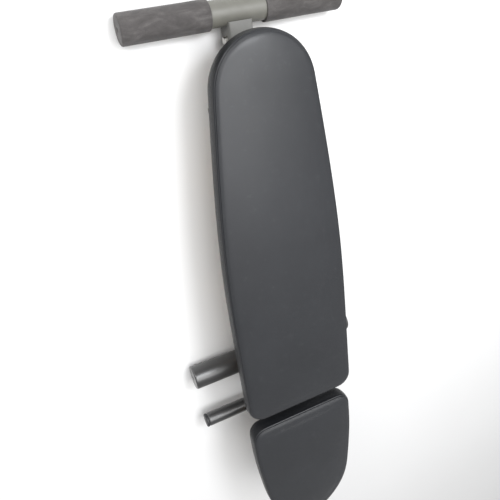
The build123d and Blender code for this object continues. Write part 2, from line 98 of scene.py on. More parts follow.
# ---- materials ----
class Nodes:
    """A material's node tree, with short calls for the nodes that these finishes use."""

    def __init__(self, name, **constants):
        self.mat = bpy.data.materials.new(name)
        self.mat.use_nodes = True
        self.tree = self.mat.node_tree
        self.shader = self.tree.nodes["Principled BSDF"]
        for key, value in constants.items():
            self.shader.inputs[key.replace("_", " ")].default_value = value
        self.place = self.tree.nodes.new("ShaderNodeTexCoord").outputs["Object"]

    def link(self, a, b):
        self.tree.links.new(a, b)

    def scaled(self, scale):
        node = self.tree.nodes.new("ShaderNodeMapping")
        node.inputs["Scale"].default_value = scale
        self.link(self.place, node.inputs["Vector"])
        return node.outputs["Vector"]

    def noise(self, scale, detail, rough=0.5, place=None, distortion=0.0):
        node = self.tree.nodes.new("ShaderNodeTexNoise")
        node.inputs["Scale"].default_value = scale
        node.inputs["Detail"].default_value = detail
        node.inputs["Roughness"].default_value = rough
        node.inputs["Distortion"].default_value = distortion
        self.link(place or self.place, node.inputs["Vector"])
        return node.outputs["Fac"]

    def cells(self, scale, feature="F1"):
        node = self.tree.nodes.new("ShaderNodeTexVoronoi")
        node.feature = feature
        node.inputs["Scale"].default_value = scale
        self.link(self.place, node.inputs["Vector"])
        return node.outputs["Distance"]

    def curved(self, low, high):
        """1 on convex edges of a finely divided surface, 0 elsewhere, from its own curvature."""
        geometry = self.tree.nodes.new("ShaderNodeNewGeometry")
        return self.span(geometry.outputs["Pointiness"], low, high, 0.0, 1.0)

    def edges(self, radius=0.0016):
        """1 along sharp edges and 0 on the flats beside them, however few faces there are."""
        bevel = self.tree.nodes.new("ShaderNodeBevel")
        bevel.samples = 4
        bevel.inputs["Radius"].default_value = radius
        geometry = self.tree.nodes.new("ShaderNodeNewGeometry")
        dot = self.tree.nodes.new("ShaderNodeVectorMath")
        dot.operation = "DOT_PRODUCT"
        self.link(bevel.outputs["Normal"], dot.inputs[0])
        self.link(geometry.outputs["Normal"], dot.inputs[1])
        return self.span(dot.outputs["Value"], 0.985, 0.82, 0.0, 1.0)

    def facing_up(self, low, high):
        """0 on steep sides and 1 on what faces up, between two values of the normal's height."""
        geometry = self.tree.nodes.new("ShaderNodeNewGeometry")
        split = self.tree.nodes.new("ShaderNodeSeparateXYZ")
        self.link(geometry.outputs["Normal"], split.inputs["Vector"])
        return self.span(split.outputs["Z"], low, high, 0.0, 1.0)

    def span(self, value, from_low, from_high, to_low, to_high):
        """A value carried from one range to another, and held at the second range's ends."""
        node = self.tree.nodes.new("ShaderNodeMapRange")
        for key, number in zip(
            ("From Min", "From Max", "To Min", "To Max"),
            (from_low, from_high, to_low, to_high),
        ):
            node.inputs[key].default_value = number
        self.link(value, node.inputs["Value"])
        return node.outputs["Result"]

    def math(self, kind, *values):
        node = self.tree.nodes.new("ShaderNodeMath")
        node.operation = kind
        for socket, value in zip(node.inputs, values):
            if isinstance(value, (int, float)):
                socket.default_value = value
            else:
                self.link(value, socket)
        return node.outputs["Value"]

    def ramp(self, value, *stops):
        """Colour by value: stops are (position, (r, g, b))."""
        node = self.tree.nodes.new("ShaderNodeValToRGB")
        ramp = node.color_ramp
        for _ in range(len(stops) - 2):
            ramp.elements.new(0.5)
        for element, (position, colour) in zip(ramp.elements, stops):
            element.position = position
            element.color = (*colour, 1)
        self.link(value, node.inputs["Fac"])
        return node.outputs["Color"]

    def mix(self, factor, a, b):
        node = self.tree.nodes.new("ShaderNodeMix")
        node.data_type = "RGBA"
        self.link(factor, node.inputs["Factor"])
        for socket, value in ((node.inputs["A"], a), (node.inputs["B"], b)):
            if isinstance(value, tuple):
                socket.default_value = (*value, 1)
            else:
                self.link(value, socket)
        return node.outputs["Result"]

    def colour(self, value):
        self.link(value, self.shader.inputs["Base Color"])

    def roughness(self, value):
        self.link(value, self.shader.inputs["Roughness"])

    def specular(self, value):
        self.link(value, self.shader.inputs["Specular IOR Level"])

    def bump(self, *layers):
        """Chained bumps: layers are (height, distance in metres, strength)."""
        normal = None
        for height, distance, strength in layers:
            node = self.tree.nodes.new("ShaderNodeBump")
            node.inputs["Distance"].default_value = distance
            node.inputs["Strength"].default_value = strength
            self.link(height, node.inputs["Height"])
            if normal is not None:
                self.link(normal, node.inputs["Normal"])
            normal = node.outputs["Normal"]
        self.link(normal, self.shader.inputs["Normal"])


def scaled_colour(colour, factor):
    return tuple(c * factor for c in colour)




def vinyl(name, colour):
    """Upholstery vinyl: a fine pebble grain with painted shade in its crevices, faint creases, rubbed paler on its
    edges.

    The steep boxing strip round the sides has painted shade: its colour is mixed darker than the top panel, and it
    has less specular."""
    n = Nodes(name, Coat_Weight=0.12, Coat_Roughness=0.22)
    # Painted shade: this mask mixes the steep sides' colour darker than the top panel and lowers their specular
    top_mask_sides_shaded = n.facing_up(0.45, 0.8)
    n.specular(n.math("MULTIPLY_ADD", top_mask_sides_shaded, 0.36, 0.08))
    broad = n.noise(4.5, 4.0, 0.55)
    base = n.ramp(broad, (0.3, scaled_colour(colour, 0.86)), (0.72, scaled_colour(colour, 1.16)))
    grain = n.cells(820.0, "DISTANCE_TO_EDGE")
    # Painted shade in the grain's crevices: the cell edges are mixed darker
    crevice_shade = n.span(grain, 0.0, 0.16, 0.78, 1.0)
    dusty = n.mix(n.span(n.noise(70.0, 5.0, 0.7), 0.58, 0.8, 0.0, 0.12), base, (0.16, 0.165, 0.17))
    worn = n.mix(n.math("MULTIPLY", n.curved(0.505, 0.56), 0.35), dusty, scaled_colour(colour, 1.9))
    topside = n.mix(crevice_shade, scaled_colour(colour, 0.62), worn)
    # Painted shade on the steep sides: their colour is half the vinyl's
    n.colour(n.mix(top_mask_sides_shaded, scaled_colour(colour, 0.5), topside))
    patches = n.noise(14.0, 5.0, 0.6)
    n.roughness(n.math("ADD", n.span(patches, 0.3, 0.7, 0.31, 0.41), n.span(grain, 0.0, 0.1, 0.08, 0.0)))
    creases = n.noise(26.0, 3.0, 0.5, n.scaled((1.0, 0.45, 1.0)), 0.6)
    pebbles = n.noise(240.0, 2.0)
    n.bump((creases, 0.0016, 0.12), (pebbles, 0.0004, 0.25), (n.span(grain, 0, 0.2, 0, 1), 0.00018, 0.55))
    return n.mat


def foam(name, colour, pale):
    """Matt closed-cell foam rubber, mottled, with small open pores whose insides are painted dark as painted
    shade.
    """
    n = Nodes(name, Specular_IOR_Level=0.35, Sheen_Weight=0.12, Sheen_Roughness=0.5)
    mottle = n.noise(48.0, 7.0, 0.66, n.scaled((0.45, 1.0, 1.0)), 0.5)
    base = n.ramp(mottle, (0.3, scaled_colour(colour, 0.74)), (0.5, colour), (0.74, pale))
    rubbed = n.mix(n.math("MULTIPLY", n.curved(0.51, 0.6), 0.5), base, pale)
    pores = n.cells(620.0)
    # Painted shade inside the pores: their colour is mixed darker
    n.colour(n.mix(n.span(pores, 0.05, 0.3, 0.0, 1.0), scaled_colour(colour, 0.5), rubbed))
    n.roughness(n.span(mottle, 0.3, 0.7, 0.93, 0.74))
    n.bump((n.noise(90.0, 4.0, 0.6), 0.0008, 0.25), (n.span(pores, 0.0, 0.35, 0.0, 1.0), 0.0003, 0.6))
    return n.mat


def skinned_foam(name, colour):
    """Black foam with a smooth moulded skin: soft broad gloss, faint scuffs."""
    n = Nodes(name, Specular_IOR_Level=0.95, Coat_Weight=0.6, Coat_Roughness=0.32)
    smear = n.noise(16.0, 5.0, 0.65, n.scaled((0.4, 1.0, 1.0)), 0.3)
    base = n.ramp(smear, (0.32, scaled_colour(colour, 0.8)), (0.75, scaled_colour(colour, 1.5)))
    scuff = n.span(n.noise(180.0, 6.0, 0.75), 0.62, 0.76, 0.0, 0.3)
    rubbed = n.math("MULTIPLY", n.curved(0.51, 0.6), 0.4)
    n.colour(n.mix(n.math("MAXIMUM", scuff, rubbed), base, (0.11, 0.11, 0.115)))
    n.roughness(n.span(smear, 0.3, 0.7, 0.34, 0.47))
    n.bump((n.noise(70.0, 3.0, 0.5), 0.0008, 0.18), (n.cells(900.0), 0.00012, 0.3))
    return n.mat


def plastic(name, colour):
    """Moulded plastic with a spark-eroded texture, paler where it is rubbed."""
    n = Nodes(name, Specular_IOR_Level=0.5)
    cloud = n.noise(30.0, 4.0, 0.6)
    base = n.ramp(cloud, (0.3, scaled_colour(colour, 0.8)), (0.7, scaled_colour(colour, 1.35)))
    n.colour(n.mix(n.math("MULTIPLY", n.edges(0.0012), 0.4), base, (0.14, 0.14, 0.14)))
    n.roughness(n.span(n.noise(90.0, 5.0, 0.7), 0.3, 0.7, 0.42, 0.6))
    n.bump((n.noise(1500.0, 2.0), 0.0001, 0.5), (cloud, 0.0008, 0.06))
    return n.mat


def powder_coat(name, colour, chip):
    """Powder coat: orange peel, faint dust, and bare metal showing at rubbed edges."""
    n = Nodes(name, Specular_IOR_Level=0.5)
    cloud = n.noise(11.0, 5.0, 0.6)
    base = n.ramp(cloud, (0.3, scaled_colour(colour, 0.86)), (0.72, scaled_colour(colour, 1.1)))
    speck = n.span(n.noise(420.0, 4.0, 0.7), 0.62, 0.8, 0.0, 0.16)
    dusty = n.mix(speck, base, scaled_colour(colour, 1.35))
    ragged = n.math("MULTIPLY", n.edges(), n.span(n.noise(190.0, 6.0, 0.75), 0.5, 0.62, 0.0, 0.8))
    n.colour(n.mix(ragged, dusty, chip))
    n.roughness(n.span(n.noise(70.0, 5.0, 0.65), 0.3, 0.7, 0.4, 0.58))
    n.bump((n.noise(650.0, 2.0), 0.00022, 0.4), (cloud, 0.001, 0.05))
    return n.mat


def zinc(name, colour):
    """Zinc plate: metal with soft spangles, fine streaks and dulled patches."""
    n = Nodes(name, Metallic=1.0)
    spangle = n.cells(260.0)
    streak = n.noise(340.0, 4.0, 0.6, n.scaled((1.0, 0.15, 1.0)))
    base = n.ramp(spangle, (0.0, scaled_colour(colour, 0.82)), (0.6, scaled_colour(colour, 1.12)))
    dull = n.span(n.noise(45.0, 5.0, 0.7), 0.5, 0.72, 0.0, 0.5)
    n.colour(n.mix(dull, base, (0.3, 0.3, 0.29)))
    n.roughness(n.math("ADD", n.span(streak, 0.3, 0.7, 0.26, 0.42), n.math("MULTIPLY", dull, 0.3)))
    n.bump((streak, 0.00012, 0.35), (n.noise(120.0, 3.0), 0.0004, 0.12))
    return n.mat


def plywood(name, colour):
    """Plywood face: long grain lines with early and late wood, and fine open pores."""
    n = Nodes(name, Specular_IOR_Level=0.3)
    grain = n.noise(9.0, 6.0, 0.62, n.scaled((9.0, 0.45, 9.0)), 0.9)
    fine = n.noise(60.0, 5.0, 0.7, n.scaled((9.0, 0.35, 9.0)))
    base = n.ramp(
        grain, (0.25, scaled_colour(colour, 0.66)), (0.47, colour), (0.62, scaled_colour(colour, 1.25))
    )
    n.colour(n.mix(n.span(fine, 0.56, 0.72, 0.0, 0.45), base, scaled_colour(colour, 0.5)))
    n.roughness(n.span(grain, 0.3, 0.7, 0.62, 0.8))
    n.bump((fine, 0.0004, 0.4), (grain, 0.0006, 0.2))
    return n.mat


MATERIALS = {
    "pad_vinyl": vinyl("pad_vinyl_grain", (0.021, 0.0225, 0.026)),
    "pad_board": plywood("pad_board_grain", (0.46, 0.33, 0.2)),
    "sleeve_rubber": foam("sleeve_rubber_mottled", (0.072, 0.067, 0.066), (0.12, 0.113, 0.11)),
    "grip_rubber": skinned_foam("grip_rubber_skin", (0.013, 0.013, 0.014)),
    "bumper_rubber": foam("bumper_rubber_moulded", (0.03, 0.03, 0.03), (0.07, 0.07, 0.07)),
    "black_plastic": plastic("black_plastic_moulded", (0.022, 0.022, 0.024)),
    "foot_paint": powder_coat("foot_paint_coat", (0.155, 0.153, 0.135), (0.5, 0.49, 0.46)),
    "frame_paint": powder_coat("frame_paint_coat", (0.15, 0.15, 0.142), (0.45, 0.45, 0.43)),
    "zinc_hardware": zinc("zinc_hardware_plate", (0.62, 0.61, 0.58)),
}
THREAD = vinyl("thread_twist", (0.026, 0.027, 0.031))
for subpart in frame["record"]["subparts"]:
    for material_slot in frame["nodes"][subpart["node"]].material_slots:
        material_slot.material = MATERIALS[subpart["material_slot"]]


# ---- making pieces ----
def make_piece(name, verts, faces, slot, body, material=None, smooth=True):
    """A mesh in the row frame from bench points, with its finish, riding on a body."""
    mesh = bpy.data.meshes.new(name)
    mesh.from_pydata([tuple(p) for p in to_row(verts)], [], faces)
    mesh.validate()
    facing = bmesh.new()
    facing.from_mesh(mesh)
    bmesh.ops.recalc_face_normals(facing, faces=facing.faces)
    facing.to_mesh(mesh)
    facing.free()
    mesh.materials.append(material or MATERIALS[slot])
    if smooth:
        mesh.shade_smooth()
    piece = bpy.data.objects.new(name, mesh)
    bpy.context.scene.collection.objects.link(piece)
    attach(piece, body)
    return piece


class Shape:
    """Vertices and faces gathered before they become one piece."""

    def __init__(self):
        self.verts = []
        self.faces = []

    def add(self, points):
        """Adds a ring of vertices and returns their numbers."""
        start = len(self.verts)
        self.verts.extend(tuple(float(c) for c in p) for p in points)
        return list(range(start, len(self.verts)))

    def strip(self, a, b):
        """A band of faces between two closed rings."""
        for i in range(len(a)):
            j = (i + 1) % len(a)
            self.faces.append((a[i], b[i], b[j], a[j]))

    def skin(self, rings):
        """Bands between each ring and the next."""
        for a, b in zip(rings, rings[1:]):
            self.strip(a, b)

    def rod(self, rings):
        """Bands between rings, with both ends closed."""
        self.skin(rings)
        self.faces.append(tuple(rings[0]))
        self.faces.append(tuple(rings[-1][::-1]))


def unit(v):
    return v / np.maximum(np.linalg.norm(v, axis=-1, keepdims=True), 1e-9)


def travelled(line):
    """How far along a line each of its points is."""
    return np.concatenate([[0], np.cumsum(np.linalg.norm(np.diff(line, axis=0), axis=1))])


def points_at(line, step, places):
    """Points of a line, whose own points lie step along it, at other places along it."""
    return np.column_stack([np.interp(places, step, line[:, k]) for k in range(line.shape[1])])


def round_ways(points):
    """Unit directions of travel at the points of a closed line."""
    return unit(np.roll(points, -1, axis=0) - np.roll(points, 1, axis=0))


# ---- outlines of the pads, in mm on the bench's X and Y, with Y = 0 at the back pad's head ----
PAD_THICKNESS = 50.0
BACK_LENGTH = 875.0
BACK_HEAD_RADIUS = 105.0
BACK_HEAD_FLARE = 6.8
BACK_WAIST = (138.5, 420.0)
BACK_HIP_HALF = 142.0
BACK_HIP_STRAIGHT = 175.0
BACK_CORNER = 38.0
SEAT_REAR_Y = -917.0
SEAT_NOSE_Y = -1309.0
SEAT_HALF = 141.0
SEAT_STRAIGHT = 75.0
SEAT_CORNER = 34.0
SEAT_FLANK = ((130.0, 173.0), (115.0, 98.0), (75.0, 37.0))


def spline(points, first, last, count):
    """Smooth line through points that leaves along first and arrives along last."""
    p = np.array(points, float)
    h = np.linalg.norm(np.diff(p, axis=0), axis=1)
    n = len(p)
    a = np.zeros((n, n))
    b = np.zeros((n, 2))
    a[0, 0] = a[-1, -1] = 1
    b[0], b[-1] = first, last
    for i in range(1, n - 1):
        a[i, i - 1 : i + 2] = 1 / h[i - 1], 2 / h[i - 1] + 2 / h[i], 1 / h[i]
        b[i] = 3 * ((p[i] - p[i - 1]) / h[i - 1] ** 2 + (p[i + 1] - p[i]) / h[i] ** 2)
    slopes = np.linalg.solve(a, b)
    line = []
    for i in range(n - 1):
        t = np.linspace(0, 1, count, endpoint=False)[:, None]
        line.append(
            (2 * t**3 - 3 * t**2 + 1) * p[i]
            + (t**3 - 2 * t**2 + t) * h[i] * slopes[i]
            + (3 * t**2 - 2 * t**3) * p[i + 1]
            + (t**3 - t**2) * h[i] * slopes[i + 1]
        )
    return np.vstack([*line, p[-1:]])


def arc(centre, radius, start, end, count=60):
    a = np.radians(np.linspace(start, end, count))
    return np.column_stack([centre[0] + radius * np.cos(a), centre[1] + radius * np.sin(a)])


def back_half():
    """Right half of the back pad's outline, from its head to the middle of its hip end."""
    head = arc((0, -BACK_HEAD_RADIUS), BACK_HEAD_RADIUS, 90, BACK_HEAD_FLARE)
    flare = math.radians(BACK_HEAD_FLARE)
    waist = (BACK_WAIST[0], BACK_WAIST[1] - BACK_LENGTH)
    hip = (BACK_HIP_HALF, BACK_HIP_STRAIGHT - BACK_LENGTH)
    flank = spline([head[-1], waist, hip], (math.sin(flare), -math.cos(flare)), (0, -1), 120)
    corner = arc((BACK_HIP_HALF - BACK_CORNER, BACK_CORNER - BACK_LENGTH), BACK_CORNER, 0, -90)
    return np.vstack([head, flank[1:], corner, [(0, -BACK_LENGTH)]])


def seat_half():
    """Right half of the seat's outline, from the middle of its rear edge to its nose."""
    corner = arc((SEAT_HALF - SEAT_CORNER, SEAT_REAR_Y - SEAT_CORNER), SEAT_CORNER, 90, 0)
    start = (SEAT_HALF, SEAT_REAR_Y - SEAT_STRAIGHT)
    bends = [(x, SEAT_NOSE_Y + back) for x, back in SEAT_FLANK]
    flank = spline([start, *bends, (0, SEAT_NOSE_Y)], (0, -1), (-1, 0), 90)
    return np.vstack([[(0, SEAT_REAR_Y)], corner, flank])


def even(line, count):
    """count + 1 points along a line, evenly spaced."""
    step = travelled(line)
    return points_at(line, step, np.linspace(0, step[-1], count + 1))


def pad_loop(half, across, down):
    """The outline as one loop of 2 * (across + down) points and outward normals, cut at the four
    places where it runs at 45 degrees, so that it can carry a grid."""
    half = even(half, 1500)
    t = unit(np.gradient(half, axis=0))
    first = int(np.argmax(t[:, 0] < -t[:, 1]))
    second = int(np.argmax(t[:, 0] < t[:, 1]))
    mirror = half[::-1] * (-1, 1)
    top = even(np.vstack([mirror[-first - 1 :], half[1 : first + 1]]), across)
    right = even(half[first : second + 1], down)
    bottom = even(np.vstack([half[second:], mirror[1 : len(half) - second]]), across)
    left = right[::-1] * (-1, 1)
    loop = np.vstack([top[:-1], right[:-1], bottom[:-1], left[:-1]])
    tangent = round_ways(loop)
    return loop, np.column_stack([-tangent[:, 1], tangent[:, 0]])


def inset(loop, normals, by):
    """The loop moved inwards, by one distance or by one for each point."""
    return loop - normals * np.broadcast_to(by, len(loop))[:, None]


def level(points, z):
    """Flat points lifted to a height, or each to its own."""
    return np.column_stack([points, np.broadcast_to(z, len(points))])


def fill_grid(shape, ring, points, across, down, rise, up):
    """Fills a loop of vertices with a grid, raised by rise(u, v) above its edge."""
    n = len(ring)
    p = np.array(points)

    def edge(i, j):
        """Which of the loop's points lies at column i and row j of the grid's border."""
        if j == 0:
            return i
        if i == across:
            return across + j
        if j == down:
            return across + down + across - i
        return (2 * across + down + down - j) % n

    index = {}
    for j in range(down + 1):
        for i in range(across + 1):
            if i in (0, across) or j in (0, down):
                index[i, j] = ring[edge(i, j)]
                continue
            u, v = i / across, j / down
            place = (
                (1 - v) * p[edge(i, 0)]
                + v * p[edge(i, down)]
                + (1 - u) * p[edge(0, j)]
                + u * p[edge(across, j)]
                - (1 - u) * (1 - v) * p[edge(0, 0)]
                - u * (1 - v) * p[edge(across, 0)]
                - (1 - u) * v * p[edge(0, down)]
                - u * v * p[edge(across, down)]
            )
            place[2] += rise(u, v)
            index[i, j] = shape.add([place])[0]
    for j in range(down):
        for i in range(across):
            quad = (index[i, j], index[i, j + 1], index[i + 1, j + 1], index[i + 1, j])
            shape.faces.append(quad if up else quad[::-1])


# ---- upholstery, in mm ----
# How far below its place the panel starts, and how far the air may move it
START_DOWN = 1.6
PUFF = 4.6
# Rounds of evening out the cloth's movement, and the share of its creases that stays
EVEN_OUT = 60
CREASE_SHARE = 0.1
CLOTH_FRAMES = 20
SEAM_DEPTH = 2.2
STITCH_PITCH = 5.2
STAPLE_PITCH = 26.0
# Rings from the panel's edge down to the underside: (inset, mm below the pad's top), where the
# wall's rings are given by their share of the way from the seam to the underside's curve
PANEL_RINGS = ((22, 0.0), (16, 0.5), (11, 1.3), (7.6, 2.3), (5.2, 3.4), (3.8, 4.5))
SEAM_RINGS = ((3.0, 5.3), (2.0, 6.4), (1.1, 8.0))
WALL_RINGS = ((0.3, 0.09), (-0.5, 0.27), (-0.9, 0.46), (-0.6, 0.66), (0.2, 0.84), (1.6, 1.0))
WALL_END = 43.0
UNDER_RINGS = (
    (3.6, 46.6), (6.6, 49.0), (10.0, PAD_THICKNESS), (13.75, PAD_THICKNESS), (13.75, 44.0), (13.75, 38.0)
)
# The panel ring that the stitches follow
STITCH_RING = 4


def inflate(piece, pinned, cap):
    """Lets air pressure swell the cover as cloth, holds pinned points and caps the movement. The
    movement is evened out over its neighbours, as the firm foam under the cover does, so that only
    a share of its creases is left."""
    group = piece.vertex_groups.new(name="pin")
    group.add(pinned, 1.0, "REPLACE")
    cloth = piece.modifiers.new("cloth", "CLOTH")
    settings = cloth.settings
    settings.quality = 6
    settings.mass = 0.3
    settings.tension_stiffness = settings.compression_stiffness = 22
    settings.shear_stiffness = 8
    settings.bending_stiffness = 3
    settings.use_pressure = True
    settings.uniform_pressure_force = 4
    settings.effector_weights.gravity = 0
    settings.vertex_group_mass = "pin"
    cloth.collision_settings.use_collision = False
    cloth.point_cache.frame_start, cloth.point_cache.frame_end = 1, CLOTH_FRAMES
    scene = bpy.context.scene
    for step in range(1, CLOTH_FRAMES + 1):
        scene.frame_set(step)
    mesh = piece.data
    rest = np.zeros(len(mesh.vertices) * 3, np.float32)
    mesh.vertices.foreach_get("co", rest)
    swollen = rest.copy()
    shown = piece.evaluated_get(bpy.context.evaluated_depsgraph_get())
    shown.data.vertices.foreach_get("co", swollen)
    rest, swollen = rest.reshape(-1, 3), swollen.reshape(-1, 3)
    move = swollen - rest
    ends = np.array([tuple(edge.vertices) for edge in mesh.edges])
    free = np.ones((len(rest), 1))
    free[pinned] = 0
    count = np.maximum(np.bincount(ends.ravel(), minlength=len(rest)), 1)[:, None]
    even_move = move.copy()
    for _ in range(EVEN_OUT):
        total = np.zeros_like(move)
        np.add.at(total, ends[:, 0], even_move[ends[:, 1]])
        np.add.at(total, ends[:, 1], even_move[ends[:, 0]])
        even_move = free * (0.4 * even_move + 0.6 * total / count)
    move = even_move + CREASE_SHARE * (move - even_move)
    far = np.linalg.norm(move, axis=1, keepdims=True)
    move *= cap * np.tanh(far / cap) / np.maximum(far, 1e-9)
    mesh.vertices.foreach_set("co", (rest + move).astype(np.float32).ravel())
    piece.modifiers.remove(cloth)
    piece.vertex_groups.remove(group)
    scene.frame_set(1)
    mesh.update()


def subdivide(piece):
    """One applied Catmull-Clark subdivision."""
    smooth = piece.modifiers.new("smooth", "SUBSURF")
    smooth.levels = smooth.render_levels = 1
    bpy.context.view_layer.update()
    shown = piece.evaluated_get(bpy.context.evaluated_depsgraph_get())
    mesh = bpy.data.meshes.new_from_object(shown)
    piece.modifiers.remove(smooth)
    old = piece.data
    piece.data = mesh
    bpy.data.meshes.remove(old)
    mesh.name = piece.name
    mesh.shade_smooth()


def pad_rings():
    """Every ring of a pad's cover as (inset, mm below the pad's top)."""
    seam_end = SEAM_RINGS[-1][1]
    wall = [(by, seam_end + share * (WALL_END - seam_end)) for by, share in WALL_RINGS]
    return list(PANEL_RINGS + SEAM_RINGS) + wall + list(UNDER_RINGS)


def crowned(height):
    """A rise that is highest in the middle of the panel and nothing at its edges."""
    return lambda u, v: height * (1 - (2 * u - 1) ** 2) * (1 - (2 * v - 1) ** 6)


def make_cover(prefix, half, across, down, crown):
    """The vinyl cover of a pad: a crowned panel and its boxing joined by a sewn seam, turned
    under the board. Returns its outline with the normals, its stitch line and its underside's z."""
    top = node_span(f"{prefix}_pad")[1][2]
    loop, normals = pad_loop(half, across, down)
    shape = Shape()
    rings = []
    for by, below in pad_rings():
        sink = START_DOWN * max(0.0, 1 - below / 25)
        rings.append(shape.add(level(inset(loop, normals, by), top - below - sink)))
    shape.skin(rings)
    for ring, height, up in ((rings[0], crown, True), (rings[-1], 0.0, False)):
        points = [np.array(shape.verts[i]) for i in ring]
        fill_grid(shape, ring, points, across, down, crowned(height), up)
    cover = make_piece(f"{prefix}_cover", shape.verts, shape.faces, "pad_vinyl", "root")
    pinned = list(range(rings[len(PANEL_RINGS)][0], rings[-1][-1] + 1))
    loose_grid = (across - 1) * (down - 1)
    pinned += list(range(rings[-1][-1] + 1 + loose_grid, len(shape.verts)))
    inflate(cover, pinned, PUFF / 1000)
    points = mesh_points(cover.data)
    above, seam, below = rings[len(PANEL_RINGS) : len(PANEL_RINGS) + 3]
    outward = unit(np.column_stack([normals, np.full(len(normals), 0.8)]))
    points[seam] -= outward * SEAM_DEPTH
    points[above] += outward * 0.45
    points[below] += outward * 0.27
    tuck = rings[STITCH_RING]
    points[tuck] -= outward * 0.35
    cover.data.vertices.foreach_set("co", to_row(points).astype(np.float32).ravel())
    cover.data.update()
    stitch_line = points[tuck] + outward * 0.25
    subdivide(cover)
    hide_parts(f"{prefix}_pad")
    return loop, normals, stitch_line, top - PAD_THICKNESS


def resample(line, pitch):
    """Evenly spaced points and directions round a closed line."""
    closed = np.vstack([line, line[:1]])
    step = travelled(closed)
    count = int(step[-1] / pitch)
    points = points_at(closed, step, np.arange(count) * step[-1] / count)
    return points, round_ways(points)


def make_stitches(prefix, line):
    """The row of thread beside the seam: each stitch is a small bowed capsule."""
    shape = Shape()
    points, ways = resample(line, STITCH_PITCH)
    for p, way in zip(points, ways):
        side = unit(np.cross(way, (0, 0, 1.0)))
        up = np.cross(side, way)
        rings = []
        for t in (-1.0, -0.8, -0.3, 0.3, 0.8, 1.0):
            radius = 0.42 * math.sqrt(max(0.06, 1 - t**4))
            centre = p + way * t * 1.85 + (up + side) * 0.25 * (1 - t * t)
            turn = np.radians(np.arange(0, 360, 60))[:, None]
            rings.append(shape.add(centre + radius * (np.cos(turn) * side + np.sin(turn) * up)))
        shape.rod(rings)
    make_piece(f"{prefix}_stitches", shape.verts, shape.faces, "pad_vinyl", "root", THREAD)


def make_flap(prefix, loop, normals, under, reach):
    """The cover's edge, folded under the board with small gathers. Returns how far in it comes."""
    shape = Shape()
    s = np.arange(len(loop))
    ripple = np.array([noise.noise(Vector((k * 0.35, 3.1, 0.7))) for k in s])
    gather = np.array([noise.noise(Vector((k * 0.9, 9.4, 2.2))) for k in s])
    edge = reach(loop) + ripple * 1.6
    rows = (
        (11.5, under - 0.05), (12.5, under - 0.9), (15.0, under - 1.15 - 0.25 * gather),
        (edge - 3.0, under - 1.2 - 0.4 * gather), (edge - 0.5, under - 1.0), (edge, under - 0.5),
        (edge - 0.5, under - 0.05),
    )
    rings = [shape.add(level(inset(loop, normals, by), z)) for by, z in rows]
    shape.skin(rings + rings[:1])
    flap = make_piece(f"{prefix}_flap", shape.verts, shape.faces, "pad_vinyl", "root")
    return edge


def make_staples(prefix, line):
    """Flat wire staples along a line on the flap, each turned a little its own way."""
    staples = Shape()
    points, ways = resample(line, STAPLE_PITCH)
    wire = ((-5.4, 1.2), (-5.2, 0.3), (-4.6, -0.1), (4.6, -0.1), (5.2, 0.3), (5.4, 1.2))
    box = ((-0.6, -0.25), (-0.6, 0.25), (0.6, 0.25), (0.6, -0.25))
    for k, (p, way) in enumerate(zip(points, ways)):
        lean = 0.25 * noise.noise(Vector((k * 1.7, 5.0, 1.0)))
        side = unit(np.cross(way, (0, 0, 1.0)))
        way = unit(way + side * lean)
        side = unit(np.cross(way, (0, 0, 1.0)))
        rings = []
        for along, up in wire:
            centre = p + way * along + np.array([0, 0, up])
            rings.append(staples.add([centre + side * a + np.array([0, 0, b]) for a, b in box]))
        staples.rod(rings)
    make_piece(f"{prefix}_staples", staples.verts, staples.faces, "zinc_hardware", "root", None, False)


def back_reach(loop):
    """How far in the back pad's flap comes: less beside the head cross tube's ends."""
    near = np.exp(-(((loop[:, 1] + 150) / 55) ** 2))
    return 25.0 - 6.5 * near


for prefix, half, across, down, crown, reach in (
    ("back", back_half(), 26, 88, 2.5, back_reach),
    ("seat", seat_half(), 26, 34, 3.5, lambda loop: np.full(len(loop), 25.0)),
):
    loop, normals, stitch_line, under = make_cover(prefix, half, across, down, crown)
    make_stitches(prefix, stitch_line)
    edge = make_flap(prefix, loop, normals, under, reach)
    make_staples(prefix, level(inset(loop, normals, edge - 3.6), under - 1.5))


# ---- grips and sleeves, turned round an axis parallel to X ----
SLEEVE_BORE = 24.45
SLEEVE_FLOOR = 6.3
ROLLER_BORE = 13.1
KNOB_BORE = 4.15
KNOB_BORE_DEPTH = 16.0
KNOB_FLUTES = 16


def turned(name, profile, y, z, slot, body, closed, unevenness=0.0, seed=0.0, flutes=None):
    """A profile of (x, radius) points turned round X. The surface wavers by unevenness, and
    flutes(x, angle) may cut into it."""
    shape = Shape()
    sides = 96
    turn = np.radians(np.arange(sides) * 360 / sides)
    rings = []
    for x, radius in profile:
        if radius < 1e-6:
            rings.append(shape.add([(x, y, z)]))
            continue
        waver = np.array(
            [
                noise.noise(Vector((x * 0.02 + seed, math.cos(a) * 1.3, math.sin(a) * 1.3)))
                + 0.35 * noise.noise(Vector((x * 0.09 + seed, math.cos(a) * 5, math.sin(a) * 5)))
                for a in turn
            ]
        )
        r = radius + unevenness * waver
        if flutes:
            r = r - np.array([flutes(x, radius, a) for a in turn])
        points = np.column_stack([np.full(sides, x), y + r * np.cos(turn), z + r * np.sin(turn)])
        rings.append(shape.add(points))
    pairs = list(zip(rings, rings[1:]))
    if closed:
        pairs.append((rings[-1], rings[0]))
    for a, b in pairs:
        if len(a) == 1:
            shape.faces.extend((a[0], b[i], b[(i + 1) % sides]) for i in range(sides))
        elif len(b) == 1:
            shape.faces.extend((a[(i + 1) % sides], a[i], b[0]) for i in range(sides))
        else:
            shape.strip(a, b)
    return make_piece(name, shape.verts, shape.faces, slot, body)


